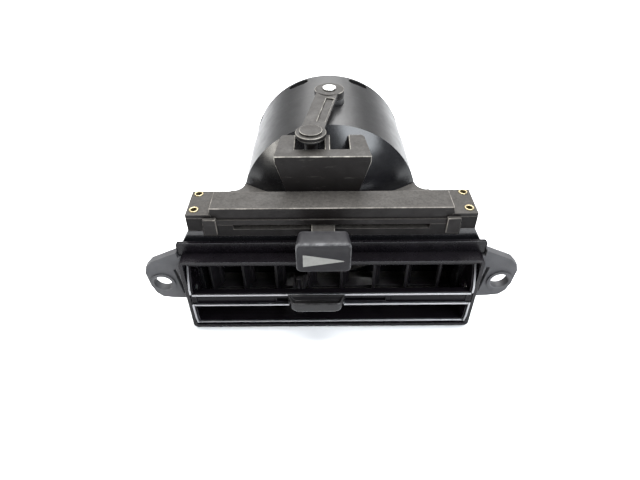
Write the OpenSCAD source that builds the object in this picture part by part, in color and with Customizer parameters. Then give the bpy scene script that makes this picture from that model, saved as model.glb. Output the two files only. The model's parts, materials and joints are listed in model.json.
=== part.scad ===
// Dashboard air vent: slatted outlet, air box and round duct with a flap worked by a sliding knob.
// X runs to the right, Y runs back into the dashboard and Z runs up.
// The origin lies halfway between the two ear holes, on the ears' front face.
// Modules are drawn from the frame's top front edge and moved to the origin by at_ears().

/* [Front frame] */
// Outer width of the front frame
frame_w = 140; // [138:0.5:144]
// Outer height of the front frame
frame_h = 45; // [44.8:0.1:46]
// Wall thickness of the front frame
frame_wall = 1.7; // [1.5:0.1:1.8]
// Depth of the front frame
frame_depth = 20; // [19:0.5:20]
// Height of the rib across the top of the frame
rib_h = 6; // [4:0.5:7]

/* [Mounting ears] */
// Distance of each ear hole from the middle of the frame
ear_hole_x = 81.2; // [80:0.1:84]
// Depth of the ears' front face behind the front edge
ear_y = 5; // [4:0.5:6]
// Height of the ear holes below the top of the frame
ear_drop = 17.5; // [16:0.5:20]
// Diameter of each ear hole
ear_hole_d = 8.6; // [6:0.1:9]
// Thickness of the ears
ear_t = 4; // [3:0.5:5]

/* [Air box and duct] */
// Height of the air box top above the top of the frame
tower_h = 11; // [10:0.5:11]
// Depth of the air box's back wall
box_back = 41; // [40:0.5:42]
// Outer radius of the round duct
duct_r = 45; // [44.5:0.1:45.5]
// Wall thickness of the air box and the duct
duct_wall = 2; // [1.8:0.1:2.2]
// Depth of the open end of the duct
duct_end = 110.5; // [108:0.5:114]
// Depth where the hose's seat begins on the round duct
hose_y = 84; // [82.5:0.5:88]
// Depth of the edge where the round duct meets the rounded shoulder
collar_y = 48; // [48:0.1:48.5]
// Radius of the rounded shoulder above the air box
dome_r = 70; // [70:0.5:72]

/* [Slider] */
// Place of the knob along its slot at rest
knob_x = -3.75; // [-6:0.25:0]
// Width of the knob
knob_w = 23.2; // [20:0.2:26]
// Height of the knob
knob_h = 15.8; // [14:0.2:17]
// Depth of the knob
knob_d = 9; // [8:0.5:10]
// Half the length of the slot in the guide cover
slot_half = 44; // [42:0.5:46]

/* [Flap and lever] */
// Depth of the flap spindle
spindle_y = 74; // [73:0.5:75]
// Diameter of the flap spindle
spindle_d = 5; // [4:0.5:6]
// Distance between the spindle and the lever's pin
lever_len = 39.25; // [38.5:0.25:39.5]
// Angle of the lever at rest, from straight ahead
lever_angle = -13.26; // [-14:0.01:-12]
// Turn of the flap from rest to shut
flap_shut_turn = 55.2; // [50:0.1:60]

/* [Louvre] */
// Depth of the louvre's pivot behind the front edge
louvre_y = 6; // [6:0.1:6.2]
// Place of the thumb tab along its slot at rest
tab_x = -7.1; // [-10:0.1:0]
// Number of upright vanes
vane_count = 8; // [8:1:8]
// Distance between the upright vanes
vane_pitch = 17.2; // [16.8:0.1:17.4]
// Turn of the upright vanes at rest
vane_angle = -18.55; // [-20:0.05:0]

/* [Hidden] */
$fn = 64;

gap = 0.01;
half_w = frame_w / 2;
inner_half = half_w - frame_wall;

// Air box
base_z = -46.5;
duct_z = base_z + duct_r;
bore_r = duct_r - duct_wall;
hose_r = duct_r - 0.6;
tower_y = 9.6;
dome_y = collar_y + sqrt(dome_r * dome_r - duct_r * duct_r);
box_half = half_w - 1;

// Slider guide
rail_floor = tower_h + 1.3;
rail_half = 65;
rail_back = 28.3;
end_inner = 54.5;
end_top = 19.85;
end_plate_t = 1.8;
cover_top = 23;
cover_back = 23;
cover_face_y = 9.8;
ledge_y = 8.9;
slot_low = 12.3;
slot_high = 14.6;
eyelet_x = 61.55;
eyelet_y = [13.5, 25.8];
eyelet_hole_r = 1.5;

// Slider
plate_z = 12.55;
plate_t = 1.6;
riser_y = 23.9;
riser_t = 1.5;
riser_top = 40.4;
riser_w_top = 43;
riser_w_low = 34;
flange_back = 44;
flange_t = 1.5;
knob_top = 17.4;
knob_front = -8;

// Lever and spindle
boss_top = duct_z + duct_r + 2.9;
boss_r = 7.5;
hub_z = boss_top + 0.4;
hub_t = 3.2;
eye_z = duct_z + duct_r + 0.7;
eye_t = 2;
eye_r = 7;
arm_w = 10.6;
arm_t = 1.95;
pin_r = 3;
pin_low = 37.6;
cap_r = 5.2;
bush_r = 4.2;
shaft_gap = 0.05;
spindle_r = spindle_d / 2;
spindle_low = -44.4;
lower_boss_top = -41.6;

// Flap
flap_r = bore_r - 4.1;
seal_r = bore_r - 2.8;
seal_t = 2.8;
seat_r = bore_r - 4.5;
seat_t = 1.8;
flap_t = 2.4;
flap_hub_r = 4.6;
flap_rest = -flap_shut_turn;
screw_z = [-24, 21];

// Louvre
louvre_z = -frame_h / 2;
louvre_r = 20.2;
louvre_half = 67.7;
end_plate = 1.6;
bar_front = -0.5;
bar_back = 3;
bar_low = -27.55;
bar_high = -19.75;
tab_slot_half = 26.4;
trim_t = 0.9;
pivot_r = 2;

// Upright vanes
vane_y = 30;
vane_t = 1.5;
vane_front = 9;
vane_rear = 3;
vane_low = -42.5;
vane_high = -3.9;
vane_pin_r = 1.2;
rail_t = 1.8;
drive_len = 23;
drive_vane = 4;
drive_z = -31;
link_r = 6;
link_z = -13.2;
link_t = 1.5;
link_turn_mm = 5.8;
link_x = link_turn_mm * vane_angle * PI / 180;

function vane_x(i) = (i - (vane_count + 1) / 2) * vane_pitch;

module at_ears() translate([0, -ear_y, ear_drop]) children();

// A shape drawn in X and Z, standing up and running back from y by depth
module upright(y, depth) translate([0, y + depth, 0]) rotate([90, 0, 0]) linear_extrude(depth) children();

// A shape drawn in Y and Z, running along X from x by length
module crosswise(x, length) translate([x, 0, 0]) rotate([90, 0, 90]) linear_extrude(length) children();

// A block given by its lowest and highest corners
module block(low, high) translate(low) cube(high - low);

// A flat rectangle with round corners, given by its lowest and highest corners
module soft_rect(low, high, r) {
  translate([low[0] + r, low[1]]) square([high[0] - low[0] - 2 * r, high[1] - low[1]]);
  translate([low[0], low[1] + r]) square([high[0] - low[0], high[1] - low[1] - 2 * r]);
  for (x = [low[0] + r, high[0] - r], z = [low[1] + r, high[1] - r]) translate([x, z]) circle(r);
}

module pair() for (side = [0, 1]) mirror([side, 0, 0]) children();

module front_frame() at_ears() color([0.07, 0.07, 0.08]) {
  rib_y = 6.5;
  rib_t = 1.8;
  rib_half = half_w + 1.3;
  difference() {
    union() {
      upright(0, frame_depth) soft_rect([-half_w, -frame_h], [half_w, 0], 2.4);
      upright(rib_y, rib_t) soft_rect([-rib_half, -1.5], [rib_half, rib_h], 1.5);
    }
    upright(-1, frame_depth + 2)
      soft_rect([-inner_half, -frame_h + frame_wall], [inner_half, -frame_wall], 1);
    translate([-half_w - 2, louvre_y, louvre_z]) rotate([0, 90, 0])
      cylinder(h = frame_w + 4, r = pivot_r + shaft_gap);
    // relief for the louvre's swing at the top and bottom walls
    block([-inner_half, -1, -5], [inner_half, 0.4, -frame_wall + 0.3]);
  }
}

module ear_outline() {
  polygon([[71, 1.8], [84.6, -4.2], [87.4, -7.2], [88.6, -11.2], [87.9, -18], [86.2, -24.4],
    [83.4, -27.4], [78, -28.2], [71, -28.6]]);
}

module mounting_bracket() at_ears() color([0.2, 0.2, 0.2]) {
  strap_t = 1.5;
  slot_x = 73;
  hole_z = -ear_drop;
  difference() {
    union() {
      pair() upright(ear_y, ear_t) ear_outline();
      upright(ear_y, ear_t) difference() {
        translate([-half_w - strap_t, base_z]) square([frame_w + 2 * strap_t, 1.8 - base_z]);
        soft_rect([-half_w, -frame_h], [half_w, 8], 2.4);
        translate([-half_w, -frame_h / 2]) square([frame_w, 40]);
      }
      pair() translate([ear_hole_x, ear_y - 0.8, hole_z]) rotate([-90, 0, 0])
        cylinder(h = ear_t, r = ear_hole_d / 2 + 1.7);
    }
    pair() translate([ear_hole_x, ear_y - 2, hole_z]) rotate([-90, 0, 0])
      cylinder(h = ear_t + 4, r = ear_hole_d / 2);
    pair() translate([slot_x, ear_y - 1, -17]) rotate([0, 8, 0])
      block([-0.6, 0, -8], [0.6, ear_t + 2, 8]);
    block([-half_w - 1.35, 0, -1.55], [half_w + 1.35, ear_y + ear_t + 1, 3]);
  }
}

// Outline of the air box, whose sides lean in above the frame
module box_outline(inset, low) {
  side = box_half - inset;
  shoulder = 4;
  polygon([[-side, low], [side, low], [side, shoulder], [rail_half - inset, tower_h - inset],
    [-rail_half + inset, tower_h - inset], [-side, shoulder]]);
}

module air_box() at_ears() color([0.05, 0.05, 0.06]) {
  wall = 2.5;
  flare = 7;
  flare_low = -20;
  dome_low = tower_h - wall;
  difference() {
    union() {
      upright(frame_depth, box_back - frame_depth) box_outline(0, base_z);
      upright(tower_y, frame_depth - tower_y) box_outline(0, 0);
      intersection() {
        translate([0, dome_y, duct_z]) sphere(dome_r, $fn = 160);
        block([-60, box_back - 14, dome_low + 1], [60, collar_y, 60]);
      }
      intersection() {
        translate([0, box_back - 1, duct_z]) rotate([-90, 0, 0]) cylinder(h = collar_y - box_back + 1, r = duct_r);
        block([-60, box_back - 1, base_z - 1], [60, collar_y, tower_h]);
      }
      // flared corners between the round part and the back wall
      pair() translate([duct_r - 3, box_back - 1, flare_low]) difference() {
        block([0, 0, 0], [flare + 1, flare + 1, tower_h - flare_low]);
        translate([flare + 1, flare + 1, -1]) cylinder(h = 40 + tower_h, r = flare - 0.6);
      }
    }
    // way through for the air
    upright(frame_depth - 1, box_back - frame_depth - duct_wall + 1) box_outline(wall, base_z + wall);
    upright(tower_y + 2, frame_depth - tower_y - 2) box_outline(wall, wall);
    intersection() {
      translate([0, dome_y, duct_z]) sphere(dome_r - duct_wall, $fn = 160);
      block([-60, 0, dome_low - 3], [60, collar_y + 1, 60]);
    }
    intersection() {
      translate([0, box_back - 5, duct_z]) rotate([-90, 0, 0]) cylinder(h = 30, r = bore_r);
      block([-60, box_back - 5, base_z], [60, collar_y + 1, dome_low]);
    }
  }
}

// Half-round ledge inside the duct that one half of the flap closes against
module flap_seat(side) intersection() {
  translate([0, spindle_y + side * (seal_t / 2 + 0.3 + seat_t / 2) - seat_t / 2, duct_z]) rotate([-90, 0, 0])
    difference() {
      cylinder(h = seat_t, r = bore_r + 0.5, $fn = 128);
      translate([0, 0, -1]) cylinder(h = seat_t + 2, r = seat_r, $fn = 128);
    }
  translate([side * 35, spindle_y, duct_z]) cube([52, 20, 100], center = true);
}

module duct_collar() at_ears() color([0.09, 0.09, 0.1]) {
  rim_slots = 8;
  slot_y = duct_end - 4.4;
  slot_r = 2.5;
  slot_half_run = 3.2;
  slot_depth = 1;
  difference() {
    union() {
      difference() {
        union() {
          translate([0, collar_y, duct_z]) rotate([-90, 0, 0])
            cylinder(h = hose_y - collar_y, r = duct_r, $fn = 128);
          translate([0, hose_y, duct_z]) rotate([-90, 0, 0])
            cylinder(h = duct_end - hose_y, r = hose_r, $fn = 128);
          translate([0, spindle_y, duct_z + duct_r - 4]) cylinder(h = boss_top - duct_z - duct_r + 4, r = boss_r);
        }
        translate([0, collar_y - 1, duct_z]) rotate([-90, 0, 0])
          cylinder(h = duct_end - collar_y + 2, r = bore_r, $fn = 128);
      }
      intersection() {
        translate([0, spindle_y, base_z]) cylinder(h = lower_boss_top - base_z, r = 6);
        translate([0, spindle_y - 10, duct_z]) rotate([-90, 0, 0]) cylinder(h = 20, r = duct_r - 0.5, $fn = 128);
      }
      for (side = [-1, 1]) flap_seat(side);
    }
    translate([0, spindle_y, 30]) cylinder(h = 30, r = bush_r);
    translate([0, spindle_y, spindle_low - 0.2]) cylinder(h = 20, r = bush_r - 0.4);
    for (i = [0 : rim_slots - 1]) translate([0, slot_y, duct_z]) rotate([0, (i + 0.5) * 360 / rim_slots, 0]) {
      for (side = [-1, 1]) translate([side * slot_half_run, 0, hose_r - slot_depth]) cylinder(h = 5, r = slot_r);
      block([-slot_half_run, -slot_r, hose_r - slot_depth], [slot_half_run, slot_r, hose_r + 5]);
    }
  }
}

module guide_rail() at_ears() color([0.33, 0.32, 0.3]) {
  skirt_half = 58;
  difference() {
    union() {
      block([-rail_half, tower_y, tower_h], [rail_half, rail_back, rail_floor - 0.1]);
      block([-skirt_half, ledge_y, 8.4], [skirt_half, tower_y, slot_low - 0.1]);
      pair() block([end_inner, tower_y, tower_h + 1], [rail_half, rail_back, end_top - end_plate_t]);
      pair() block([slot_half, ledge_y, slot_low - 1], [skirt_half, tower_y, slot_high - 0.05]);
    }
    pair() for (y = eyelet_y) translate([eyelet_x, y, tower_h + 0.6]) cylinder(h = 20, r = eyelet_hole_r);
  }
}

module guide_cover() at_ears() color([0.36, 0.35, 0.33]) {
  top_t = 1.6;
  wall = 1.4;
  crown_half = end_inner - 0.6;
  hook_x = 54.2;
  hook_w = 5.9;
  difference() {
    union() {
      pair() block([end_inner - 1, tower_y, end_top - end_plate_t], [rail_half, rail_back, end_top]);
      // raised middle with its front and back walls
      upright(cover_face_y, cover_back - cover_face_y)
        polygon([[-end_inner, slot_high], [end_inner, slot_high], [end_inner, end_top],
          [crown_half, cover_top], [-crown_half, cover_top], [-end_inner, end_top]]);
      block([-end_inner + 3, ledge_y, slot_high], [end_inner - 3, cover_face_y + 0.2, 17.2]);
      pair() block([hook_x - hook_w / 2, ledge_y - 1.1, 10], [hook_x + hook_w / 2, ledge_y - 0.1, 18.2]);
      pair() block([hook_x - hook_w / 2, ledge_y - 1.1, 15], [hook_x + hook_w / 2, tower_y + 0.3, 18.2]);
    }
    // channel for the slider, open at the back below the roof
    block([-end_inner + 2, cover_face_y + wall, slot_high - 1], [end_inner - 2, cover_back - wall, cover_top - top_t]);
    block([-end_inner + 2, cover_back - wall - 1, slot_high - 1], [end_inner - 2, cover_back + 1, 16.2]);
    pair() block([end_inner - gap, tower_y - 1, 0], [rail_half + 1, rail_back + 1, end_top - end_plate_t]);
    pair() for (y = eyelet_y) translate([eyelet_x, y, 10]) cylinder(h = 20, r = eyelet_hole_r);
  }
}

module eyelets() at_ears() color([0.75, 0.6, 0.3]) {
  tube_r = 1.05;
  flange_r = 2.15;
  flange_t = 0.45;
  pair() for (y = eyelet_y) translate([eyelet_x, y, 0]) difference() {
    union() {
      translate([0, 0, tower_h + 0.8]) cylinder(h = end_top - tower_h - 0.8, r = eyelet_hole_r);
      translate([0, 0, end_top]) cylinder(h = flange_t, r = flange_r);
    }
    cylinder(h = 40, r = tube_r);
  }
}

module slider_bracket() at_ears() translate([knob_x, 0, 0]) color([0.36, 0.34, 0.32]) {
  plate_half = 22;
  stem_half = 5.25;
  left_slot = [-12.6, 1];
  right_slot = [3.4, 12.2];
  slot_front = 30.5;
  flange_low = riser_top - flange_t;
  difference() {
    union() {
      block([-plate_half, cover_face_y + 1.8, plate_z], [plate_half, riser_y + gap, plate_z + plate_t]);
      block([-stem_half, knob_front + knob_d - 2, plate_z + 0.1], [stem_half, 13, plate_z + plate_t - 0.1]);
      upright(riser_y, riser_t) polygon([[-riser_w_low / 2, plate_z], [riser_w_low / 2, plate_z],
        [riser_w_low / 2, cover_top], [riser_w_top / 2, riser_top - 3], [riser_w_top / 2, riser_top],
        [-riser_w_top / 2, riser_top], [-riser_w_top / 2, riser_top - 3], [-riser_w_low / 2, cover_top]]);
      translate([0, 0, flange_low]) linear_extrude(flange_t) polygon([[-riser_w_top / 2, riser_y],
        [riser_w_top / 2, riser_y], [19.6, flange_back - 1.5], [18.4, flange_back],
        [-18.4, flange_back], [-19.6, flange_back - 1.5]]);
    }
    block([left_slot[0], slot_front, 30], [left_slot[1], 50, 50]);
    block([right_slot[0], slot_front, 30], [right_slot[1], 50, 50]);
  }
}

module slider_knob() at_ears() translate([knob_x, 0, 0]) color([0.2, 0.2, 0.21]) {
  back = knob_front + knob_d;
  low = knob_top - knob_h;
  difference() {
    hull() {
      upright(knob_front, 1) soft_rect([-knob_w / 2 + 0.6, low + 0.5], [knob_w / 2 - 0.6, knob_top - 0.8], 1.5);
      upright(knob_front + 1.2, 1) soft_rect([-knob_w / 2, low], [knob_w / 2, knob_top], 2);
      upright(back - 1, 1) soft_rect([-knob_w / 2 + 1.6, low + 1.5], [knob_w / 2 - 1.6, knob_top], 2);
    }
    block([-5.25, back - 2, plate_z + 0.1], [5.25, back + 1, plate_z + plate_t - 0.1]);
    block([-9.1, knob_front - 1, 4.2], [9.1, knob_front + 0.3, 11.8]);
  }
}

module airflow_mark() at_ears() translate([knob_x, 0, 0]) color([0.75, 0.75, 0.72])
  upright(knob_front + 0.05, 0.25) polygon([[-8.9, 11.4], [-8.65, 4.6], [8.85, 7.75], [8.85, 8.1]]);

module slider_spring() at_ears() translate([knob_x, 0, 0]) color([0.7, 0.7, 0.72]) {
  arc_r = 18;
  arc_t = 0.4;
  peak = cover_top - 1.6 - 0.15;
  upright(15, 5) difference() {
    intersection() {
      translate([0, peak - arc_r]) circle(arc_r, $fn = 128);
      translate([-20, plate_z + plate_t]) square([40, 10]);
    }
    translate([0, peak - arc_r]) circle(arc_r - arc_t, $fn = 128);
  }
}

// The lever points straight ahead along -Y from the spindle before it is turned to its rest angle
module at_lever() at_ears() translate([0, spindle_y, 0]) rotate([0, 0, lever_angle]) children();

module lever_arm() at_lever() color([0.4, 0.39, 0.37]) {
  arm_from = 5;
  arm_to = lever_len - 4;
  drop = hub_z + hub_t - eye_z - eye_t;
  slope = atan(drop / (arm_to - arm_from));
  difference() {
    union() {
      translate([0, 0, hub_z]) cylinder(h = hub_t, r = boss_r);
      translate([0, -lever_len, eye_z]) cylinder(h = eye_t, r = eye_r);
      translate([0, -arm_from, hub_z + hub_t]) rotate([slope, 0, 0])
        block([-arm_w / 2, -(arm_to - arm_from) / cos(slope), -arm_t], [arm_w / 2, 0, 0]);
    }
    // sunken channel beside the raised rib of the arm
    translate([0, -arm_from, hub_z + hub_t]) rotate([slope, 0, 0])
      block([0.6, -25, -0.8], [arm_w / 2 - 1, -4.5, 1]);
    translate([0, 0, hub_z - 1]) cylinder(h = hub_t + 2, r = spindle_r);
    translate([0, -lever_len, eye_z - 1]) cylinder(h = eye_t + 2, r = pin_r);
  }
}

module lever_pin() at_lever() translate([0, -lever_len, 0]) color([0.45, 0.44, 0.42]) {
  translate([0, 0, pin_low]) cylinder(h = eye_z + eye_t - pin_low, r = pin_r);
  translate([0, 0, eye_z + eye_t]) cylinder(h = 1, r = cap_r);
}

module lever_washer() at_lever() translate([0, -lever_len, eye_z - 0.8]) color([0.1, 0.1, 0.1])
  difference() {
    cylinder(h = 0.8, r = eye_r - 0.6);
    translate([0, 0, -1]) cylinder(h = 3, r = pin_r);
  }

module spindle_screw_holes(r) for (z = screw_z) translate([0, -8, z]) rotate([-90, 0, 0]) cylinder(h = 16, r = r);

module flap_spindle() at_ears() translate([0, spindle_y, 0]) color([0.75, 0.75, 0.74]) difference() {
  union() {
    translate([0, 0, spindle_low]) cylinder(h = hub_z + hub_t + 0.9 - spindle_low, r = spindle_r);
    translate([0, 0, hub_z + hub_t]) cylinder(h = 0.9, r = spindle_r + 0.9);
  }
  rotate([0, 0, flap_rest]) spindle_screw_holes(1);
}

module upper_bush() at_ears() translate([0, spindle_y, 0]) color([0.85, 0.83, 0.78]) difference() {
  translate([0, 0, duct_z + bore_r + 0.2]) cylinder(h = boss_top - duct_z - bore_r - 0.2, r = bush_r);
  cylinder(h = 80, r = spindle_r + shaft_gap);
}

module lower_bush() at_ears() translate([0, spindle_y, 0]) color([0.85, 0.83, 0.78]) difference() {
  translate([0, 0, spindle_low - 0.2]) cylinder(h = lower_boss_top - spindle_low + 0.2, r = bush_r - 0.4);
  translate([0, 0, spindle_low - 0.1]) cylinder(h = 20, r = spindle_r + shaft_gap);
}

module spindle_clip() at_ears() translate([0, spindle_y, lower_boss_top + 0.3]) color([0.5, 0.5, 0.52])
  difference() {
    cylinder(h = 0.7, r = spindle_r + 1.9);
    translate([0, 0, -1]) cylinder(h = 3, r = spindle_r);
    block([-1.2, 0, -1], [1.2, 8, 2]);
  }

module at_flap() at_ears() translate([0, spindle_y, 0]) rotate([0, 0, flap_rest]) children();

// Space kept free round the spindle's ends so that the flap clears the bosses
module flap_end_room() {
  translate([0, 0, duct_z + bore_r - 2]) cylinder(h = 10, r = 7);
  translate([0, 0, base_z]) cylinder(h = lower_boss_top + 1.6 - base_z, r = 7.2);
}

module flap_disc() at_flap() color([0.12, 0.12, 0.12]) difference() {
  union() {
    translate([0, -flap_t / 2, duct_z]) rotate([-90, 0, 0]) cylinder(h = flap_t, r = flap_r, $fn = 128);
    translate([0, 0, lower_boss_top + 1.6]) cylinder(h = duct_z + bore_r - 3.6 - lower_boss_top, r = flap_hub_r);
    for (x = [-20, 20]) block([x - 0.8, -flap_t / 2 - 1.6, -30], [x + 0.8, flap_t / 2 + 1.6, 27]);
  }
  flap_end_room();
  translate([0, 0, -60]) cylinder(h = 120, r = spindle_r);
  spindle_screw_holes(1);
  for (z = screw_z) translate([0, -8, z]) rotate([-90, 0, 0]) cylinder(h = 3.8, r = 2.3);
}

module flap_seal() at_flap() color([0.03, 0.03, 0.03]) difference() {
  translate([0, -seal_t / 2, duct_z]) rotate([-90, 0, 0]) cylinder(h = seal_t, r = seal_r, $fn = 128);
  translate([0, -3, duct_z]) rotate([-90, 0, 0]) cylinder(h = 6, r = flap_r, $fn = 128);
  translate([0, 0, base_z]) cylinder(h = 2 * duct_r, r = flap_hub_r + 0.2);
}

module flap_screws() at_flap() color([0.6, 0.6, 0.62]) for (z = screw_z) translate([0, 0, z]) {
  translate([0, -5.8, 0]) rotate([-90, 0, 0]) difference() {
    cylinder(h = 1.6, r = 2.1);
    translate([-0.3, -3, -1]) cube([0.6, 6, 1.7]);
  }
  translate([0, -4.3, 0]) rotate([-90, 0, 0]) cylinder(h = 8, r = 1);
}

module louvre_frame() at_ears() color([0.04, 0.04, 0.05]) {
  mid_slot_low = -26.2;
  mid_slot_high = -23.9;
  vane_back = 11;
  difference() {
    union() {
      pair() crosswise(louvre_half - end_plate, end_plate) intersection() {
        translate([louvre_y, louvre_z]) circle(louvre_r, $fn = 128);
        polygon([[bar_front, -16.6], [bar_front, -36], [0.55, -40.2], [1.45, -40.3], [1.45, -60], [13, -60],
          [13, 0], [7.5, 0], [1.9, -10.3]]);
      }
      // middle bar, top slat and bottom slat
      crosswise(-louvre_half + 1, 2 * louvre_half - 2)
        soft_rect([bar_front, bar_low], [bar_back, bar_high], 0.6);
      crosswise(-louvre_half + 1, 2 * louvre_half - 2)
        polygon([[2.6, -4.6], [vane_back, -4.2], [vane_back, -3.4], [2.6, -3]]);
      crosswise(-louvre_half + 1, 2 * louvre_half - 2)
        polygon([[1.4, -42], [vane_back - 1, -41.8], [vane_back - 1, -40.8], [1.4, -40.4]]);
    }
    block([-tab_slot_half, bar_front - 1, mid_slot_low], [tab_slot_half, bar_back + 1, mid_slot_high]);
    // sunken band between the two bright lines, with a mark beside each end of the tab's slot
    block([-louvre_half + 2.6, bar_front - 1, bar_low + 1.1], [louvre_half - 2.6, bar_front + 0.6, bar_high - 1.1]);
    for (x = [-27.4, 28.9]) block([x - 0.25, bar_front - 1, bar_low + 1.6], [x + 0.25, bar_front + 1, bar_high - 1.6]);
    at_pivot_line() cylinder(h = 200, r = pivot_r, center = true);
  }
}

module at_pivot_line() translate([0, louvre_y, louvre_z]) rotate([0, 90, 0]) children();

// Bright outline round the upper mouth: two sides and the line along its bottom
module upper_trim() at_ears() color([0.85, 0.85, 0.86]) {
  strip = 1;
  front = bar_front - trim_t;
  side_low = bar_high + 0.4;
  block([-louvre_half + 1, front, bar_high - strip], [louvre_half - 1, bar_front, bar_high]);
  pair() crosswise(louvre_half - 0.9, 0.9) polygon([[front, side_low - 0.4], [bar_front, side_low - 0.4],
    [bar_front, -16.6], [1.9, -10.3], [4.88, -4.8], [4.24, -4.44], [1.22, -9.99], [front, -16.4]]);
}

// Bright outline round the lower mouth: the line along its top, two sides and the line along its bottom
module lower_trim() at_ears() color([0.85, 0.85, 0.86]) {
  strip = 1;
  front = bar_front - trim_t;
  block([-louvre_half + 1, front, bar_low], [louvre_half - 1, bar_front, bar_low + strip]);
  pair() crosswise(louvre_half - 0.9, 0.9) polygon([[front, bar_low + strip], [bar_front, bar_low + strip],
    [bar_front, -36], [0.45, -40.1], [1.4, -40.4], [1.4, -41.9], [0.6, -42.1], [-0.4, -41.1], [front, -36.2]]);
  crosswise(-louvre_half + 1, 2 * louvre_half - 2)
    polygon([[0.5, -40.9], [1.4, -40.9], [1.4, -41.9], [0.7, -42.1], [0.2, -41.5]]);
}

module louvre_pivots() at_ears() color([0.6, 0.6, 0.6])
  pair() translate([0, louvre_y, louvre_z]) rotate([0, 90, 0])
    translate([0, 0, louvre_half - end_plate]) cylinder(h = half_w - louvre_half + end_plate - 0.1, r = pivot_r);

module pivot_washers() at_ears() color([0.1, 0.1, 0.1])
  pair() translate([louvre_half, louvre_y, louvre_z]) rotate([0, 90, 0]) difference() {
    cylinder(h = 0.4, r = 4);
    translate([0, 0, -1]) cylinder(h = 3, r = pivot_r);
  }

module thumb_tab() at_ears() translate([tab_x, 0, 0]) color([0.15, 0.15, 0.16]) {
  face_y = -8.2;
  back_y = -1.7;
  back_half = 13.3;
  front_half = 11.4;
  low = -24.6;
  high = -19.3;
  hull() {
    translate([0, back_y, 0]) block([-back_half, -0.8, -27.2], [back_half, 0, high]);
    for (side = [-1, 1]) translate([side * (front_half - 2), face_y + 2, low]) cylinder(h = high - low - 1, r = 2, $fn = 32);
    for (side = [-1, 1]) translate([side * (front_half - 2), face_y + 2.6, high - 1]) cylinder(h = 1, r = 1.6, $fn = 32);
  }
  block([-8, back_y - gap, -25.9], [8, bar_back + 0.3, -24.2]);
}

module tab_carrier() at_ears() translate([tab_x, 0, 0]) color([0.1, 0.1, 0.1]) {
  fork_x = vane_x(drive_vane);
  plate_back = 4.4;
  fork_gap = 1.8;
  fork_t = 1.2;
  block([-11, bar_back + 0.3, -26], [11, plate_back, -23.2]);
  for (side = [-1, 1])
    block([fork_x + side * (fork_gap + fork_t / 2) - fork_t / 2, bar_back + 0.3, -25.6],
      [fork_x + side * (fork_gap + fork_t / 2) + fork_t / 2, 13.4, -21.4]);
}

module vane_strip(low, high) difference() {
  block([-inner_half + 2, vane_y - 3.2, low], [inner_half - 2, vane_y + 3.2, high]);
  for (i = [1 : vane_count]) translate([vane_x(i), vane_y, low - 1])
    cylinder(h = high - low + 2, r = vane_pin_r + shaft_gap);
}

module vane_rail_top() at_ears() color([0.1, 0.1, 0.1]) vane_strip(vane_high + 0.3, vane_high + 0.3 + rail_t);

module vane_rail_bottom() at_ears() color([0.1, 0.1, 0.1]) vane_strip(base_z + 2.5, vane_low - 0.3);

// One upright vane with its pivot pins, and a notch with a pin for the link bar
module vane(i) at_ears() translate([vane_x(i), vane_y, 0]) rotate([0, 0, vane_angle]) color([0.05, 0.05, 0.05]) {
  notch_low = link_z - 2.2;
  notch_high = link_z + link_t + 2.2;
  difference() {
    union() {
      block([-vane_t / 2, -vane_front, vane_low], [vane_t / 2, vane_rear, vane_high]);
      translate([0, 0, vane_low]) cylinder(h = vane_high - vane_low, r = 1.6);
    }
    block([-5, -vane_front - 1, notch_low], [5, -2.4, notch_high]);
  }
  translate([0, -link_r, notch_low - gap]) cylinder(h = notch_high - notch_low + 2 * gap, r = 0.7);
  translate([0, 0, vane_high - gap]) cylinder(h = 1.8, r = vane_pin_r);
  translate([0, 0, vane_low - 1.4]) cylinder(h = 1.4 + gap, r = vane_pin_r);
  if (i == drive_vane) {
    block([-0.9, -drive_len, drive_z], [0.9, -vane_front + 1, drive_z + 1.6]);
    translate([0, -drive_len, drive_z]) cylinder(h = 12.9, r = 1.2);
  }
}

module vane_1() vane(1);
module vane_2() vane(2);
module vane_3() vane(3);
module vane_4() vane(4);
module vane_5() vane(5);
module vane_6() vane(6);
module vane_7() vane(7);
module vane_8() vane(8);

module vane_link() at_ears() translate([link_x, 0, link_z]) color([0.15, 0.15, 0.15]) {
  end_x = vane_x(vane_count) + 2.2;
  difference() {
    block([-end_x, vane_y - link_r - 2, 0], [end_x, vane_y - 3.1, link_t]);
    for (i = [1 : vane_count]) translate([vane_x(i), vane_y, 0]) {
      block([-1.05, -link_r - 1.1, -1], [1.05, -link_r + 2.1, 3]);
    }
  }
}

front_frame();
mounting_bracket();
air_box();
duct_collar();
guide_rail();
guide_cover();
eyelets();
slider_bracket();
slider_knob();
airflow_mark();
slider_spring();
lever_arm();
lever_pin();
lever_washer();
flap_spindle();
upper_bush();
lower_bush();
spindle_clip();
flap_disc();
flap_seal();
flap_screws();
louvre_frame();
upper_trim();
lower_trim();
louvre_pivots();
pivot_washers();
thumb_tab();
tab_carrier();
vane_rail_top();
vane_rail_bottom();
vane_link();
vane_1();
vane_2();
vane_3();
vane_4();
vane_5();
vane_6();
vane_7();
vane_8();
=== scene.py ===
import json
import math

import bmesh
import bpy
from mathutils import Matrix, Vector


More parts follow.
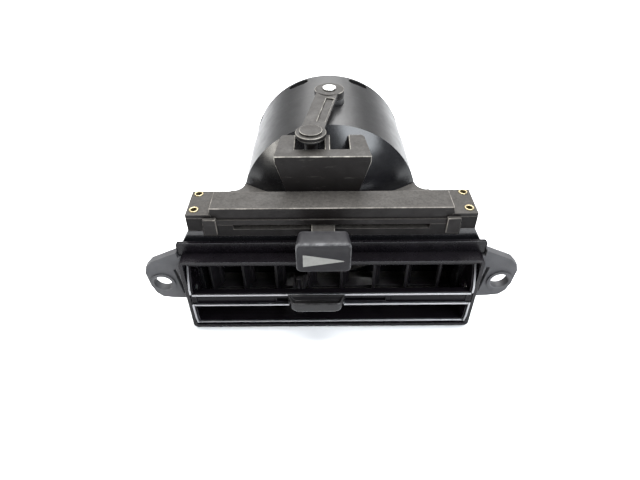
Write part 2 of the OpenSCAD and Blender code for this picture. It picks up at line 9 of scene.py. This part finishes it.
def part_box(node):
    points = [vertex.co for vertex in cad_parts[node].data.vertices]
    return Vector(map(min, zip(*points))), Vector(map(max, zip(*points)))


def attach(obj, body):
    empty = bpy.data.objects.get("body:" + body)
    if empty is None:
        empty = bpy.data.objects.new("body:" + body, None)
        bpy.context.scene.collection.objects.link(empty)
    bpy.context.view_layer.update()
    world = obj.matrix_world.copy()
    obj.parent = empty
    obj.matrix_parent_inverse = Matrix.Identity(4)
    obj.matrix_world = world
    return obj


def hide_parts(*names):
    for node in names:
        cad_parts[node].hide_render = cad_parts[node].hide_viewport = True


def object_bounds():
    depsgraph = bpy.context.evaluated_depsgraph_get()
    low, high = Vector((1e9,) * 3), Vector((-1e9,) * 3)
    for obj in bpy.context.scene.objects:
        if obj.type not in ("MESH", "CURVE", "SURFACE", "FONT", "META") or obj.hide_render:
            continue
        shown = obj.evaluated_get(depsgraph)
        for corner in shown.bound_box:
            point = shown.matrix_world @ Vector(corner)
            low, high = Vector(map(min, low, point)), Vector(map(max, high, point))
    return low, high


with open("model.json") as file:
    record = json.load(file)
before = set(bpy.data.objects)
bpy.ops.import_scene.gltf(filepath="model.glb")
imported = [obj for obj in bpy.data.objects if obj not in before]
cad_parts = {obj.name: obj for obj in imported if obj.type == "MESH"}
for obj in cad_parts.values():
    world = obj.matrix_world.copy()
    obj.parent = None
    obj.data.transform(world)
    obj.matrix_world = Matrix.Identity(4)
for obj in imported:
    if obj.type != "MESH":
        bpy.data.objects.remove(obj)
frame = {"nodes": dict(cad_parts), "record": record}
cad_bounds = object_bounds()
MM = 0.001

# Sizes are millimetres. They count from the middle of the front frame's top front edge: x to the right,
# y to the back, z up.
frame_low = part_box("front_frame")[0]
FRAME_H = 45.0
EDGE = Vector((0.0, frame_low.y, frame_low.z + FRAME_H * MM))


def at(x, y, z):
    """The place in the scene, in metres, of a point in the sizes above."""
    return EDGE + Vector((x, y, z)) * MM


# ---------------------------------------------------------------- materials


class Shader:
    """A material's node tree with short calls for the nodes that these plastics and metals use."""

    def __init__(self, name):
        self.material = bpy.data.materials.new(name)
        self.material.use_nodes = True
        self.tree = self.material.node_tree
        self.tree.nodes.clear()
        self.surface = self.add("ShaderNodeBsdfPrincipled")
        out = self.add("ShaderNodeOutputMaterial")
        self.link(self.surface.outputs[0], out.inputs["Surface"])
        self.coords = self.add("ShaderNodeTexCoord").outputs["Object"]

    def add(self, kind, **settings):
        node = self.tree.nodes.new(kind)
        for key, value in settings.items():
            setattr(node, key, value)
        return node

    def link(self, out, into):
        self.tree.links.new(out, into)

    def noise(self, scale, detail=3.0, roughness=0.5, stretch=(1, 1, 1), offset=0.0):
        mapping = self.add("ShaderNodeMapping")
        mapping.inputs["Scale"].default_value = stretch
        mapping.inputs["Location"].default_value = (offset, offset * 0.7, offset * 1.3)
        self.link(self.coords, mapping.inputs["Vector"])
        node = self.add("ShaderNodeTexNoise")
        node.inputs["Scale"].default_value = scale
        node.inputs["Detail"].default_value = detail
        node.inputs["Roughness"].default_value = roughness
        self.link(mapping.outputs[0], node.inputs["Vector"])
        return node.outputs["Fac"]

    def cells(self, scale):
        node = self.add("ShaderNodeTexVoronoi")
        node.inputs["Scale"].default_value = scale
        self.link(self.coords, node.inputs["Vector"])
        return node.outputs["Distance"]

    def span(self, value, low, high, to_low=0.0, to_high=1.0):
        node = self.add("ShaderNodeMapRange", clamp=True)
        for i, v in enumerate((low, high, to_low, to_high)):
            node.inputs[i + 1].default_value = v
        self.link(value, node.inputs[0])
        return node.outputs[0]

    def math(self, kind, a, b):
        node = self.add("ShaderNodeMath", operation=kind, use_clamp=True)
        for i, v in enumerate((a, b)):
            if isinstance(v, (int, float)):
                node.inputs[i].default_value = v
            else:
                self.link(v, node.inputs[i])
        return node.outputs[0]

    def mix(self, share, a, b):
        node = self.add("ShaderNodeMix", data_type="RGBA")
        self.link(share, node.inputs[0])
        for i, v in ((6, a), (7, b)):
            if isinstance(v, (tuple, list)):
                node.inputs[i].default_value = (*v, 1.0)
            else:
                self.link(v, node.inputs[i])
        return node.outputs[2]

    def attribute(self, name):
        return self.add("ShaderNodeAttribute", attribute_name=name).outputs["Fac"]

    def upward(self):
        node = self.add("ShaderNodeSeparateXYZ")
        self.link(self.add("ShaderNodeNewGeometry").outputs["Normal"], node.inputs[0])
        return node.outputs["Z"]

    def bumps(self, *layers):
        normal = None
        for height, strength, distance in layers:
            node = self.add("ShaderNodeBump")
            node.inputs["Strength"].default_value = strength
            node.inputs["Distance"].default_value = distance
            self.link(height, node.inputs["Height"])
            if normal is not None:
                self.link(normal, node.inputs["Normal"])
            normal = node.outputs[0]
        self.link(normal, self.surface.inputs["Normal"])

    def set(self, **values):
        for key, value in values.items():
            self.surface.inputs[key.replace("_", " ")].default_value = value


# pale dust colour; on faces that look up it is also painted light from above
DUST_AND_TOP_LIGHT = (0.33, 0.31, 0.28)


def moulded(name, colour, worn, rough=0.42, rough_spread=0.12, grain=1500, grain_depth=0.00002,
            grain_strength=0.35, blotch=90, wear=0.7, dust_and_top_light=0.05, specular=0.5, scuff=0.25,
            tint=0.25, waves=0.12):
    """Injection-moulded plastic: fine grain, blotchy sheen, rubbed edges, scuffs, and a little dust on
    up-facing faces that also serves as painted light from above.
    """
    s = Shader(name)
    darker = tuple(c * (1 - tint) for c in colour)
    lighter = tuple(c * (1 + tint) for c in colour)
    cloud = s.noise(blotch, 4, 0.6)
    base = s.mix(s.span(cloud, 0.3, 0.7), darker, lighter)
    # dust lies on faces that look up, in patches; the same pale coat is also painted light from above, making
    # tops lighter than the faces below them
    patch = s.span(s.noise(900, 5, 0.75, offset=3.0), 0.3, 0.8, 0.25, 1.0)
    top_light_and_dirt_share = s.math("MULTIPLY", s.math("MULTIPLY", s.span(s.upward(), 0.2, 0.95), patch), dust_and_top_light)
    base = s.mix(top_light_and_dirt_share, base, DUST_AND_TOP_LIGHT)
    # fine scuffs
    lines = s.noise(420, 6, 0.75, stretch=(0.25, 1.6, 1.6), offset=7.0)
    scuffed = s.math("MULTIPLY", s.span(lines, 0.6, 0.72), scuff)
    base = s.mix(scuffed, base, tuple(0.5 * (a + b) for a, b in zip(colour, worn)))
    # worn edges
    uneven = s.span(s.noise(240, 5, 0.7, offset=1.0), 0.35, 0.65, 0.12, 0.8)
    rubbed = s.math("MULTIPLY", s.math("MULTIPLY", s.attribute("wear"), uneven), wear)
    base = s.mix(rubbed, base, worn)
    s.link(base, s.surface.inputs["Base Color"])
    sheen = s.noise(blotch * 2.2, 4, 0.6, offset=5.0)
    gloss = s.span(sheen, 0.3, 0.7, rough - rough_spread, rough + rough_spread)
    gloss = s.math("ADD", gloss, s.math("MULTIPLY", top_light_and_dirt_share, 0.8))
    s.link(gloss, s.surface.inputs["Roughness"])
    s.set(Specular_IOR_Level=specular, IOR=1.5)
    pits = s.cells(grain)
    fine = s.noise(grain * 1.7, 3, 0.6)
    s.bumps((fine, grain_strength, grain_depth), (pits, grain_strength * 0.8, grain_depth),
            (s.noise(55, 2, 0.5, offset=9.0), waves, 0.0004))
    return s.material


def metal(name, colour, rough=0.3, spread=0.12, brushed=(1, 1, 1), stain=(0.3, 0.25, 0.2), stain_share=0.25,
          relief=0.25):
    """Sheet or turned metal: fine lines, dull stains and brighter rubbed edges."""
    s = Shader(name)
    s.set(Metallic=1.0)
    spots = s.math("MULTIPLY", s.span(s.noise(700, 5, 0.65), 0.48, 0.68), stain_share)
    base = s.mix(s.span(s.noise(160, 3, 0.5, offset=2.0), 0.3, 0.7), tuple(c * 0.85 for c in colour), colour)
    base = s.mix(spots, base, stain)
    bright = s.math("MULTIPLY", s.attribute("wear"), 0.6)
    base = s.mix(bright, base, tuple(min(1, c * 1.15 + 0.05) for c in colour))
    s.link(base, s.surface.inputs["Base Color"])
    gloss = s.span(s.noise(240, 4, 0.6, offset=4.0), 0.3, 0.7, rough - spread, rough + spread)
    s.link(s.math("ADD", gloss, s.math("MULTIPLY", spots, 0.6)), s.surface.inputs["Roughness"])
    s.bumps((s.noise(900, 4, 0.6, stretch=brushed), relief, 0.00002),
            (s.noise(180, 2, 0.5, offset=6.0), relief * 0.6, 0.0001))
    return s.material


# the dust amounts below set both real dust and painted light from above on up-facing faces; guide, rail,
# lever and flare get the most
MATERIALS = {
    "frame": moulded("frame_gloss_black", (0.0038, 0.0031, 0.0042), (0.07, 0.07, 0.075), rough=0.26,
                     rough_spread=0.06, grain=2200, grain_depth=0.000006, grain_strength=0.08, dust_and_top_light=0.004,
                     scuff=0.12, specular=0.15, waves=0.05),
    "ear": moulded("ear_matte_grey", (0.048, 0.048, 0.051), (0.13, 0.13, 0.13), rough=0.55, dust_and_top_light=0.03,
                   specular=0.2, grain_strength=0.5, grain_depth=0.00003, scuff=0.2, tint=0.12),
    "housing": moulded("housing_satin_black", (0.006, 0.006, 0.007), (0.04, 0.04, 0.04), rough=0.22,
                       rough_spread=0.04, grain=1800, grain_depth=0.00001, grain_strength=0.15, dust_and_top_light=0.01,
                       specular=0.5, scuff=0.08),
    # a lighter, duller copy of the housing finish for its up-facing shoulders: painted light from above
    "flare": moulded("flare_painted_top_light", (0.0075, 0.0066, 0.0062), (0.1, 0.1, 0.1), rough=0.5, grain=1300,
                     grain_depth=0.00004, grain_strength=0.5, dust_and_top_light=0.17, scuff=0.1, specular=0.2),
    # a darker, duller finish for the recess floors and walls: painted shade inside the recesses
    "recess": moulded("recess_painted_shade", (0.002, 0.002, 0.002), (0.01, 0.01, 0.01), rough=0.85,
                      rough_spread=0.05, dust_and_top_light=0.0, specular=0.05, scuff=0.1),
    "duct": moulded("duct_satin_black", (0.008, 0.008, 0.0085), (0.08, 0.08, 0.08), rough=0.36,
                    rough_spread=0.04, grain=1500, grain_strength=0.1, dust_and_top_light=0.03, scuff=0.14, specular=0.5,
                    waves=0.04),
    "guide": moulded("guide_grained_grey", (0.006, 0.005, 0.0048), (0.26, 0.24, 0.215), rough=0.5,
                     grain=1300, grain_depth=0.00004, grain_strength=0.55, dust_and_top_light=0.165, scuff=0.15, wear=1.0,
                     specular=0.15),
    "rail": moulded("rail_grained_dark", (0.0042, 0.0036, 0.0036), (0.12, 0.11, 0.1), rough=0.5, grain=1300,
                    grain_depth=0.00004, grain_strength=0.55, dust_and_top_light=0.15, scuff=0.15, wear=1.0,
                    specular=0.1),
    "lever": moulded("lever_grained_grey", (0.006, 0.005, 0.0048), (0.4, 0.38, 0.34), rough=0.47,
                     grain=1500, grain_depth=0.00003, grain_strength=0.5, dust_and_top_light=0.13, scuff=0.15, wear=1.0,
                     specular=0.15),
    "knob": moulded("knob_soft_grey", (0.0115, 0.011, 0.0125), (0.16, 0.16, 0.163), rough=0.5, grain=1300,
                    grain_depth=0.00002, grain_strength=0.4, dust_and_top_light=0.0, scuff=0.1, wear=1.0, specular=0.14,
                    tint=0.1),
    "mark": moulded("mark_pale_print", (0.165, 0.165, 0.153), (0.22, 0.22, 0.21), rough=0.55, grain=2500,
                    blotch=400, tint=0.1, dust_and_top_light=0.0, scuff=0.5),
    "louvre": moulded("louvre_gloss_black", (0.0034, 0.0027, 0.0037), (0.06, 0.06, 0.065), rough=0.22,
                      rough_spread=0.05, grain=2400, grain_depth=0.000005, grain_strength=0.08, dust_and_top_light=0.004,
                      scuff=0.1, specular=0.07, waves=0.05),
    "tab": moulded("tab_gloss_black", (0.006, 0.0055, 0.0062), (0.1, 0.1, 0.1), rough=0.22,
                   rough_spread=0.05, grain=2400, grain_depth=0.000008, grain_strength=0.12, dust_and_top_light=0.02,
                   scuff=0.12, wear=0.6, specular=0.24),
    "vane": moulded("vane_satin_black", (0.009, 0.0078, 0.0095), (0.03, 0.03, 0.03), rough=0.45, grain=1800,
                    grain_strength=0.2, dust_and_top_light=0.05, scuff=0.15, specular=0.3),
    "rubber": moulded("washer_dull_black", (0.02, 0.02, 0.02), (0.06, 0.06, 0.06), rough=0.7, grain=1400),
    "flap": moulded("flap_moulded_black", (0.02, 0.02, 0.021), (0.12, 0.12, 0.12), rough=0.5, grain=1500,
                    dust_and_top_light=0.1),
    "foam": moulded("seal_open_foam", (0.014, 0.014, 0.014), (0.05, 0.05, 0.05), rough=0.9,
                    rough_spread=0.05, grain=1100, grain_depth=0.0003, grain_strength=1.0, specular=0.2,
                    wear=0.0),
    "nylon": moulded("bush_natural_nylon", (0.62, 0.58, 0.48), (0.8, 0.77, 0.7), rough=0.42, grain=1600,
                     blotch=300, tint=0.1, dust_and_top_light=0.0),
    "chrome": metal("trim_bright_foil", (0.28, 0.28, 0.29), rough=0.32, spread=0.06,
                    stain=(0.22, 0.22, 0.22), stain_share=0.3, relief=0.06),
    "brass": metal("eyelet_brass", (0.3, 0.25, 0.145), rough=0.42, stain=(0.12, 0.09, 0.05),
                   stain_share=0.45),
    "steel": metal("spindle_bright_steel", (0.9, 0.9, 0.88), rough=0.32, stain=(0.45, 0.4, 0.33),
                   stain_share=0.25),
    "spring": metal("spring_steel_strip", (0.5, 0.5, 0.52), rough=0.35, brushed=(0.1, 1, 1)),
}


# ---------------------------------------------------------------- pieces

BODY = {node: body for body, names in frame["record"]["behaviour"]["bodies"].items() for node in names}


def finish_mesh(bm, name, material, body, sharp=40):
    """Turns mesh data into a shaded piece that rides on its body."""
    for f in bm.faces:
        f.smooth = True
    for e in bm.edges:
        e.smooth = not (e.is_manifold and e.calc_face_angle(0) > math.radians(sharp))
    mesh = bpy.data.meshes.new(name)
    bm.to_mesh(mesh)
    bm.free()
    mesh.materials.append(MATERIALS[material])
    piece = bpy.data.objects.new(name, mesh)
    bpy.context.scene.collection.objects.link(piece)
    weighted = piece.modifiers.new("even_shading", "WEIGHTED_NORMAL")
    weighted.keep_sharp = True
    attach(piece, body)
    return piece


def stand_for(node):
    """Hides the node, so that the piece takes its place."""
    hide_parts(node)


SHARP_EDGE = 28  # degrees; flatter edges stay as they are


def roomy(edge, width):
    """Whether the faces beside the edge leave room for a rounding of this width."""
    along = (edge.verts[1].co - edge.verts[0].co).normalized()
    for v in edge.verts:
        for other in v.link_edges:
            run = other.other_vert(v).co - v.co
            if abs(run.normalized().dot(along)) < 0.75 and run.length < 2.2 * width * MM:
                return False
    return True


def round_edges(bm, width, chosen=None):
    """Rounds the sharp outer edges, the roomy ones first, and marks each rounding's middle as worn."""
    wear = bm.verts.layers.float.get("wear") or bm.verts.layers.float.new("wear")
    for tight in (False, True):
        edges = [e for e in bm.edges
                 if e.is_manifold and e.calc_face_angle_signed(0) > math.radians(SHARP_EDGE)
                 and (chosen is None or chosen(e)) and not any(v[wear] for v in e.verts)
                 and (tight or roomy(e, width))]
        made = bmesh.ops.bevel(bm, geom=edges, offset=width * MM, offset_type="OFFSET", segments=4,
                               profile=0.5, affect="EDGES", clamp_overlap=tight)
        new = set(made["faces"])
        for v in {v for f in made["faces"] for v in f.verts}:
            if all(f in new for f in v.link_faces):
                v[wear] = 1.0


def copy_of(node):
    """The node's mesh with its flat faces joined up, ready for rounding."""
    bm = bmesh.new()
    bm.from_mesh(frame["nodes"][node].data)
    bmesh.ops.remove_doubles(bm, verts=bm.verts, dist=2e-6)
    bmesh.ops.dissolve_limit(bm, angle_limit=math.radians(0.5), verts=bm.verts, edges=bm.edges)
    return bm


def softened(node, width, material, chosen=None):
    """The node's own shape with rounded edges."""
    bm = copy_of(node)
    round_edges(bm, width, chosen)
    piece = finish_mesh(bm, node + "_shape", material, BODY[node])
    stand_for(node)
    return piece


def rounded(points, radii, inset=0.0, steps=6):
    """An anticlockwise outline with round corners, moved inwards by inset."""
    corners = [Vector(p) for p in points]
    count = len(corners)
    lines = []
    for i, start in enumerate(corners):
        along = (corners[(i + 1) % count] - start).normalized()
        lines.append((start + Vector((-along.y, along.x)) * inset, along))
    outline = []
    for i in range(count):
        (p, d), (q, e) = lines[i - 1], lines[i]
        cross = d.x * e.y - d.y * e.x
        corner = p + d * (((q - p).x * e.y - (q - p).y * e.x) / cross)
        turn = math.atan2(cross, d.dot(e))
        radius = max(radii[i] - math.copysign(inset, turn), 0.03)
        start = corner - d * radius * math.tan(abs(turn) / 2)
        middle = start + Vector((-d.y, d.x)) * math.copysign(radius, turn)
        arm = start - middle
        for k in range(steps + 1):
            a = turn * k / steps
            outline.append(middle + Vector((arm.x * math.cos(a) - arm.y * math.sin(a),
                                            arm.x * math.sin(a) + arm.y * math.cos(a))))
    return outline


def even(outline, count):
    """The outline as evenly spaced points."""
    sides = [(b - a).length for a, b in zip(outline, outline[1:] + outline[:1])]
    total, result, i, passed = sum(sides), [], 0, 0.0
    for k in range(count):
        want = total * k / count
        while passed + sides[i] < want:
            passed += sides[i]
            i += 1
        a, b = outline[i], outline[(i + 1) % len(outline)]
        result.append(a.lerp(b, (want - passed) / sides[i] if sides[i] else 0.0))
    return result


def loft(rings):
    """A skin through rings of equally many points; a ring is a list of (point, wear)."""
    bm = bmesh.new()
    wear = bm.verts.layers.float.new("wear")
    rows = []
    for ring in rings:
        row = []
        for point, rubbed in ring:
            v = bm.verts.new(point)
            v[wear] = rubbed
            row.append(v)
        rows.append(row)
    for a, b in zip(rows, rows[1:]):
        for i in range(len(a)):
            j = (i + 1) % len(a)
            bm.faces.new((a[i], a[j], b[j], b[i]))
    bm.faces.new(rows[0])
    bm.faces.new(rows[-1])
    bmesh.ops.recalc_face_normals(bm, faces=bm.faces)
    return bm


knob_low, knob_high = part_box("slider_knob")
KNOB_X = (knob_low.x + knob_high.x) / 2 / MM
KNOB_FRONT = -8.0
KNOB_TOP = 17.4
KNOB_BASE = 1.6
KNOB_HALF = 11.8


def dish(x, z):
    """How far the knob's front face is scooped at a place, deeper towards the top."""
    across = min(abs(x) / (KNOB_HALF - 0.3), 1.0)
    rise = (z - (KNOB_TOP + KNOB_BASE) / 2) / ((KNOB_TOP - KNOB_BASE) / 2 - 0.6)
    rise = min(max(rise, -1.0), 1.0)
    return 2.3 * (1 - across**8) * (1 - rise * rise) * (0.68 + 0.32 * rise)


def make_knob():
    """The slider knob: a round-cornered block with a worn front edge and a scooped face."""
    sections = [  # depth, half width, bottom, top, corner radius, wear
        (1.0, 10.6, 3.2, 17.0, 1.8, 0.0),
        (0.8, 10.9, 2.9, 17.35, 2.0, 0.2),
        (-1.0, 11.2, 2.3, 17.4, 2.2, 0.05),
        (-4.0, 11.6, 1.8, 17.4, 2.2, 0.05),
        (-5.8, 11.8, 1.6, 17.4, 2.2, 0.1),
        (-6.9, 11.9, 1.6, 17.4, 2.2, 0.3),
        (-7.4, 11.88, 1.62, 17.3, 2.15, 0.9),
        (-7.75, 11.76, 1.72, 17.05, 2.1, 1.0),
        (-7.95, 11.58, 1.88, 16.75, 2.0, 0.9),
        (-8.0, 11.35, 2.1, 16.45, 1.9, 0.3),
    ]
    rings = []
    for depth, half, low, high, radius, worn in sections:
        corners = [(-half, low), (half, low), (half, high), (-half, high)]
        outline = even(rounded(corners, [radius] * 4), 160)
        rings.append([(at(KNOB_X + q.x, depth, q.y), worn * (1.0 if q.y > 14 else 0.75)) for q in outline])
    middle = (low + high) / 2
    for share in (0.985, 0.965, 0.94, 0.9, 0.85, 0.78, 0.7, 0.6, 0.48, 0.36, 0.24, 0.12, 0.04):
        ring = []
        for q in outline:
            x, z = q.x * share, middle + (q.y - middle) * share
            ring.append((at(KNOB_X + x, KNOB_FRONT + dish(x, z), z), 0.0))
        rings.append(ring)
    piece = finish_mesh(loft(rings), "slider_knob_shape", "knob", "slider", sharp=60)
    stand_for("slider_knob")


def make_mark():
    """The printed wedge, laid on the scooped face."""
    left, right, columns, rows = -8.9, 8.85, 36, 8
    bm = bmesh.new()
    bm.verts.layers.float.new("wear")
    front, back = [], []
    for i in range(columns + 1):
        t = i / columns
        x = left + (right - left) * t
        low, high = 4.2 + 2.45 * t, 10.1 - 3.1 * t
        for lift, sheet in ((-0.05, front), (0.05, back)):
            heights = [low + (high - low) * k / rows for k in range(rows + 1)]
            sheet.append([bm.verts.new(at(KNOB_X + x, KNOB_FRONT + dish(x, z) + lift, z)) for z in heights])
    for i in range(columns):
        for k in range(rows):
            bm.faces.new((front[i][k], front[i + 1][k], front[i + 1][k + 1], front[i][k + 1]))
            bm.faces.new((back[i][k], back[i][k + 1], back[i + 1][k + 1], back[i + 1][k]))
    rim = ([(i, 0) for i in range(columns)] + [(columns, k) for k in range(rows)]
           + [(i, rows) for i in range(columns, 0, -1)] + [(0, k) for k in range(rows, 0, -1)])
    for (a, b), (c, d) in zip(rim, rim[1:] + rim[:1]):
        bm.faces.new((front[a][b], back[a][b], back[c][d], front[c][d]))
    bmesh.ops.recalc_face_normals(bm, faces=bm.faces)
    piece = finish_mesh(bm, "airflow_mark_shape", "mark", "slider")
    stand_for("airflow_mark")


tab_low, tab_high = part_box("thumb_tab")
TAB_X = (tab_low.x + tab_high.x) / 2 / MM


def make_tab():
    """The thumb tab: a shallow scoop with a rounded front lip and rounded lower corners."""
    shape = [(-11.5, -8.2), (11.5, -8.2), (14.0, -1.7), (-14.0, -1.7)]
    radii = [2.6, 2.6, 0.4, 0.4]
    levels = [  # inset, narrower at the ends, height at the front, height at the back, wear
        (0.5, 2.6, -24.55, -27.1, 0.0),
        (0.2, 1.9, -24.5, -27.05, 0.7),
        (0.03, 1.15, -24.2, -26.8, 0.9),
        (0.0, 0.6, -23.7, -26.4, 0.3),
        (0.0, 0.25, -23.1, -25.8, 0.0),
        (0.0, 0.0, -22.2, -24.6, 0.0),
        (0.0, 0.0, -20.2, -20.6, 0.0),
        (0.08, 0.0, -19.7, -19.75, 0.3),
        (0.3, 0.0, -19.4, -19.45, 0.6),
        (0.6, 0.0, -19.3, -19.35, 0.5),
        (0.95, 0.0, -19.4, -19.4, 0.2),
        (1.25, 0.0, -19.75, -19.6, 0.0),
        (1.6, 0.0, -20.6, -20.0, 0.0),
        (2.0, 0.0, -21.3, -20.6, 0.0),
        (2.4, 0.0, -21.7, -21.0, 0.0),
    ]
    rings = []
    for inset, narrower, front, back, worn in levels:
        outline = even(rounded(shape, radii, inset), 144)
        rings.append([(at(TAB_X + q.x - narrower * max(min(q.x / 9, 1), -1), q.y,
                          front + (back - front) * (q.y + 8.2) / 6.5), worn) for q in outline])
    bm = loft(rings)
    # tongue that carries the tab through the louvre's slot
    low, high = at(TAB_X - 8, -2.2, -25.9), at(TAB_X + 8, 3.3, -24.2)
    for v in bmesh.ops.create_cube(bm, size=1.0)["verts"]:
        v.co = Vector([low[k] if v.co[k] < 0 else high[k] for k in range(3)])
    piece = finish_mesh(bm, "thumb_tab_shape", "tab", "tab", sharp=50)
    stand_for("thumb_tab")


EYELET_X = 61.55
EYELET_Y = (13.5, 25.8)
END_TOP = 19.85


def make_eyelets():
    """Four brass eyelets with rolled rims."""
    top = END_TOP
    profile = [(1.3, top - 8.0), (1.3, top + 0.05), (1.36, top + 0.3), (1.55, top + 0.43), (1.78, top + 0.45),
               (2.0, top + 0.38), (2.13, top + 0.2), (2.13, top + 0.06), (2.0, top + 0.0), (1.5, top - 0.05),
               (1.47, top - 8.0)]
    bm = bmesh.new()
    wear = bm.verts.layers.float.new("wear")
    for x in (-EYELET_X, EYELET_X):
        for y in EYELET_Y:
            rows = []
            for k in range(40):
                a = math.tau * k / 40
                row = []
                for n, (r, z) in enumerate(profile):
                    v = bm.verts.new(at(x + r * math.cos(a), y + r * math.sin(a), z))
                    v[wear] = 1.0 if 3 <= n <= 5 else 0.0
                    row.append(v)
                rows.append(row)
            for a, b in zip(rows, rows[1:] + rows[:1]):
                for i in range(len(profile)):
                    j = (i + 1) % len(profile)
                    bm.faces.new((a[i], a[j], b[j], b[i]))
    bmesh.ops.recalc_face_normals(bm, faces=bm.faces)
    piece = finish_mesh(bm, "eyelets_shape", "brass", "root")
    stand_for("eyelets")


make_knob()
make_mark()
make_tab()
make_eyelets()

PLAIN = {  # node: rounding of its edges, material
    "front_frame": (0.14, "frame"),
    "mounting_bracket": (0.5, "ear"),
    "air_box": (0.5, "housing"),
    "duct_collar": (0.4, "duct"),
    "guide_rail": (0.4, "rail"),
    "guide_cover": (0.45, "guide"),
    "slider_bracket": (0.45, "lever"),
    "slider_spring": (0.1, "spring"),
    "lever_arm": (0.35, "lever"),
    "lever_pin": (0.3, "lever"),
    "lever_washer": (0.2, "rubber"),
    "flap_spindle": (0.3, "steel"),
    "upper_bush": (0.2, "nylon"),
    "lower_bush": (0.2, "nylon"),
    "spindle_clip": (0.15, "spring"),
    "flap_disc": (0.4, "flap"),
    "flap_seal": (0.3, "foam"),
    "flap_screws": (0.2, "steel"),
    "louvre_frame": (0.25, "louvre"),
    "upper_trim": (0.2, "chrome"),
    "lower_trim": (0.2, "chrome"),
    "louvre_pivots": (0.2, "steel"),
    "pivot_washers": (0.1, "rubber"),
    "tab_carrier": (0.3, "vane"),
    "vane_rail_top": (0.3, "vane"),
    "vane_rail_bottom": (0.3, "vane"),
    "vane_link": (0.3, "vane"),
}
CREASE = at(0, 48, 0).y  # where the dome of the air box meets the duct


def off_crease(edge):
    """Leaves the seam between air box and duct crisp."""
    return any(abs(v.co.y - CREASE) > 0.00005 for v in edge.verts)


def second_finish(piece, material, here):
    """Gives another finish to the faces that the test picks."""
    piece.data.materials.append(MATERIALS[material])
    for face in piece.data.polygons:
        if here((face.center - EDGE) / MM, face.normal):
            face.material_index = 1


def on_flare(place, normal):
    """The flat shoulders beside the dome, which face up and get painted light from above."""
    return normal.z > 0.7 and place.z < 21 and place.y > 20


DUCT_RADIUS = 45.0
HOSE_RADIUS = DUCT_RADIUS - 0.6
RIM_MIDDLE = (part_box("duct_collar")[0].z - EDGE.z) / MM + DUCT_RADIUS


def in_recess(place, normal):
    """The floors and walls of the eight recesses around the rear end, which are 1 mm deep; they get painted
    shade.
    """
    arm = Vector((place.x, place.z - RIM_MIDDLE))
    return place.y > 100 and HOSE_RADIUS - 1.3 < arm.length < HOSE_RADIUS - 0.08 and abs(normal.y) < 0.95


for node, (width, material) in PLAIN.items():
    piece = softened(node, width, material, chosen=off_crease if node in ("air_box", "duct_collar") else None)
    # the air box's up-facing shoulders get the flare finish, which is painted light from above
    if node == "air_box":
        second_finish(piece, "flare", on_flare)
    # the duct's recesses get a near-black finish, which is painted shade inside them
    if node == "duct_collar":
        second_finish(piece, "recess", in_recess)
for node in sorted(n for n in frame["nodes"] if n.startswith("vane_") and n[5:].isdigit()):
    softened(node, 0.4, "vane")


# ---------------------------------------------------------------- room, lights and camera


def floor_material():
    s = Shader("studio_floor")
    s.link(s.mix(s.span(s.noise(1.4, 3, 0.5), 0.3, 0.7), (0.86, 0.87, 0.88), (0.9, 0.9, 0.91)),
           s.surface.inputs["Base Color"])
    s.set(Roughness=0.5)
    s.bumps((s.noise(60, 3, 0.5), 0.05, 0.0005))
    return s.material


floor_mesh = bpy.data.meshes.new("floor")
reach = 3.0
floor_z = cad_bounds[0][2]
floor_corners = [(x * reach, y * reach, floor_z) for x, y in ((-1, -1), (1, -1), (1, 1), (-1, 1))]
floor_mesh.from_pydata(floor_corners, [], [(0, 1, 2, 3)])
floor = bpy.data.objects.new("floor", floor_mesh)
floor_mesh.materials.append(floor_material())
bpy.context.scene.collection.objects.link(floor)

world = bpy.data.worlds.new("studio")
bpy.context.scene.world = world
world.use_nodes = True
world.node_tree.nodes["Background"].inputs["Color"].default_value = (0.93, 0.96, 1.0, 1.0)
world.node_tree.nodes["Background"].inputs["Strength"].default_value = 0.2


def soft_light(name, place, target, size, power, colour=(1, 1, 1)):
    data = bpy.data.lights.new(name, "AREA")
    data.shape = "RECTANGLE"
    data.size, data.size_y = size
    data.energy = power
    data.color = colour
    lamp = bpy.data.objects.new(name, data)
    bpy.context.scene.collection.objects.link(lamp)
    lamp.location = place
    lamp.rotation_euler = (Vector(target) - Vector(place)).to_track_quat("-Z", "Y").to_euler()


soft_light("overhead", (0.0, 0.36, 1.3), (0, 0.03, 0), (1.5, 1.0), 54)
soft_light("back_middle", (0.0, 1.15, 0.95), (0, 0.05, 0.03), (0.9, 0.6), 15)
soft_light("back_left", (-1.15, 1.05, 0.38), (0, 0.05, 0.03), (0.9, 0.5), 1.4)
soft_light("back_right", (1.15, 1.05, 0.38), (0, 0.05, 0.03), (0.9, 0.5), 1.6)
soft_light("front_right", (0.52, -0.66, 0.84), (0, 0.03, 0.03), (0.6, 0.85), 17, (0.9, 0.95, 1.0))
soft_light("left_low", (-0.85, -0.5, 0.42), (-0.02, 0.04, 0.03), (0.25, 0.3), 3.5, (1.0, 0.97, 0.9))

# The camera stands in front of the vent and looks down at it.
CAMERA_PLACE = (-0.00480, -0.16093, 0.16314)
ELEVATION = math.radians(40.3586)
YAW = math.radians(-0.147)
ROLL = math.radians(-0.519)
FOCAL = 26.52

level = math.cos(ELEVATION)
forward = Vector((math.sin(YAW) * level, math.cos(YAW) * level, -math.sin(ELEVATION)))
level_right = Vector((math.cos(YAW), -math.sin(YAW), 0.0))
level_up = level_right.cross(forward)
right = math.cos(ROLL) * level_right + math.sin(ROLL) * level_up
up = -math.sin(ROLL) * level_right + math.cos(ROLL) * level_up
camera_data = bpy.data.cameras.new("camera")
camera_data.lens = FOCAL
camera_data.sensor_width = 36.0
camera_data.clip_start = 0.01
camera = bpy.data.objects.new("camera", camera_data)
bpy.context.scene.collection.objects.link(camera)
turned = Matrix((right, up, -forward)).transposed().to_4x4()
camera.matrix_world = Matrix.Translation(CAMERA_PLACE) @ turned
bpy.context.scene.camera = camera
bpy.context.scene.view_settings.view_transform = "Standard"
